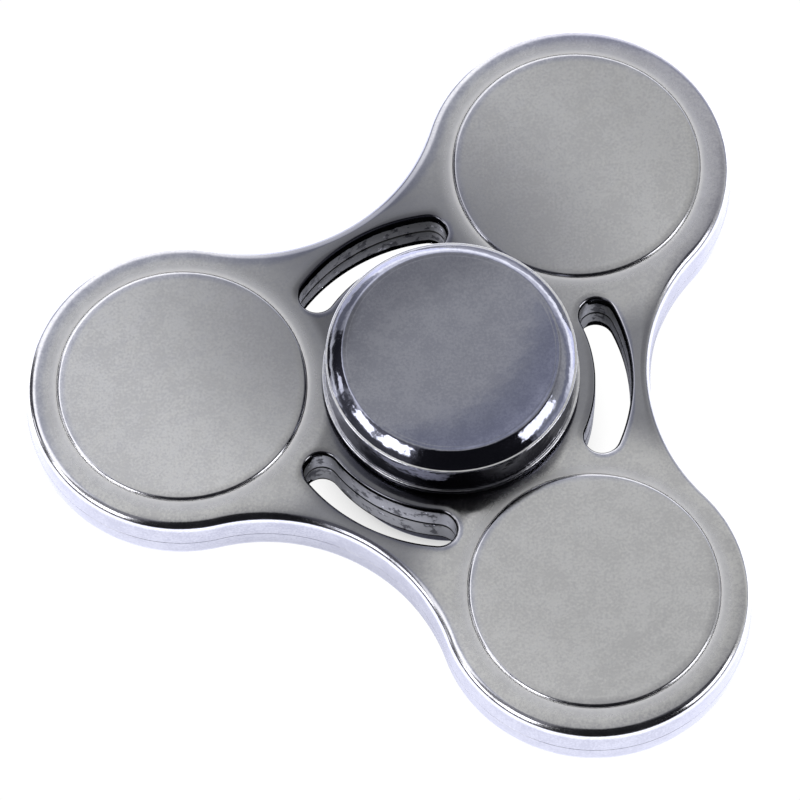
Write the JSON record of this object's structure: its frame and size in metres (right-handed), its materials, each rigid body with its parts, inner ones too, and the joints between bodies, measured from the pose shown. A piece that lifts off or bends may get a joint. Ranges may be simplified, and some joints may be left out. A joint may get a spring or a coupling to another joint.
{
  "type": "fidget spinner",
  "caption": "Lobed polished-metal spinner that turns freely on a central ball bearing, held between dished finger caps, with arc slots and weighted round lobes.",
  "frame": {"origin": "centre of the ball bearing, on the spin axis and on the body's mid plane", "axes": "+Z along the spin axis towards the upper finger cap; the first lobe points along -X"},
  "size_m": [0.064, 0.0696, 0.018],
  "materials": {
    "body_chrome": "polished",
    "cover_chrome": "polished",
    "cap_chrome": "polished",
    "weight_steel": "satin",
    "race_steel": "gloss",
    "ball_steel": "polished",
    "sheet_steel": "satin"
  },
  "bodies": {
    "caps": {"finger_cap_upper": "cap_chrome", "finger_cap_lower": "cap_chrome", "bearing_inner_race": "race_steel"},
    "rotor": {"body_upper_shell": "body_chrome", "body_lower_shell": "body_chrome", "cover_disc_upper_1": "cover_chrome", "cover_disc_upper_2": "cover_chrome", "cover_disc_upper_3": "cover_chrome", "cover_disc_lower_1": "cover_chrome", "cover_disc_lower_2": "cover_chrome", "cover_disc_lower_3": "cover_chrome", "lobe_weight_1": "weight_steel", "lobe_weight_2": "weight_steel", "lobe_weight_3": "weight_steel", "bearing_outer_race": "race_steel", "bearing_shield_upper": "sheet_steel", "bearing_shield_lower": "sheet_steel"},
    "ball_cage": {"bearing_cage_upper": "sheet_steel", "bearing_cage_lower": "sheet_steel"},
    "ball_1": {"bearing_ball_1": "ball_steel"},
    "ball_2": {"bearing_ball_2": "ball_steel"},
    "ball_3": {"bearing_ball_3": "ball_steel"},
    "ball_4": {"bearing_ball_4": "ball_steel"},
    "ball_5": {"bearing_ball_5": "ball_steel"},
    "ball_6": {"bearing_ball_6": "ball_steel"},
    "ball_7": {"bearing_ball_7": "ball_steel"}
  },
  "joints": [
    {"name": "rotor_spin", "type": "hinge", "parent": "caps", "child": "rotor", "pos_m": [0, 0, 0], "axis": [0, 0, 1], "continuous": true},
    {"name": "cage_spin", "type": "hinge", "parent": "caps", "child": "ball_cage", "pos_m": [0, 0, 0], "axis": [0, 0, 1], "continuous": true},
    {"name": "ball_1_spin", "type": "hinge", "parent": "ball_cage", "child": "ball_1", "pos_m": [-0.0075, 0, 0], "axis": [0, 0, 1], "continuous": true},
    {"name": "ball_2_spin", "type": "hinge", "parent": "ball_cage", "child": "ball_2", "pos_m": [-0.00468, -0.00586, 0], "axis": [0, 0, 1], "continuous": true},
    {"name": "ball_3_spin", "type": "hinge", "parent": "ball_cage", "child": "ball_3", "pos_m": [0.00167, -0.00731, 0], "axis": [0, 0, 1], "continuous": true},
    {"name": "ball_4_spin", "type": "hinge", "parent": "ball_cage", "child": "ball_4", "pos_m": [0.00676, -0.00325, 0], "axis": [0, 0, 1], "continuous": true},
    {"name": "ball_5_spin", "type": "hinge", "parent": "ball_cage", "child": "ball_5", "pos_m": [0.00676, 0.00325, 0], "axis": [0, 0, 1], "continuous": true},
    {"name": "ball_6_spin", "type": "hinge", "parent": "ball_cage", "child": "ball_6", "pos_m": [0.00167, 0.00731, 0], "axis": [0, 0, 1], "continuous": true},
    {"name": "ball_7_spin", "type": "hinge", "parent": "ball_cage", "child": "ball_7", "pos_m": [-0.00468, 0.00586, 0], "axis": [0, 0, 1], "continuous": true}
  ],
  "couplings": [
    {"joint": "cage_spin", "follows": "rotor_spin", "ratio": 0.63227},
    {"joint": "ball_1_spin", "follows": "rotor_spin", "ratio": 1.7579},
    {"joint": "ball_2_spin", "follows": "rotor_spin", "ratio": 1.7579},
    {"joint": "ball_3_spin", "follows": "rotor_spin", "ratio": 1.7579},
    {"joint": "ball_4_spin", "follows": "rotor_spin", "ratio": 1.7579},
    {"joint": "ball_5_spin", "follows": "rotor_spin", "ratio": 1.7579},
    {"joint": "ball_6_spin", "follows": "rotor_spin", "ratio": 1.7579},
    {"joint": "ball_7_spin", "follows": "rotor_spin", "ratio": 1.7579}
  ]
}
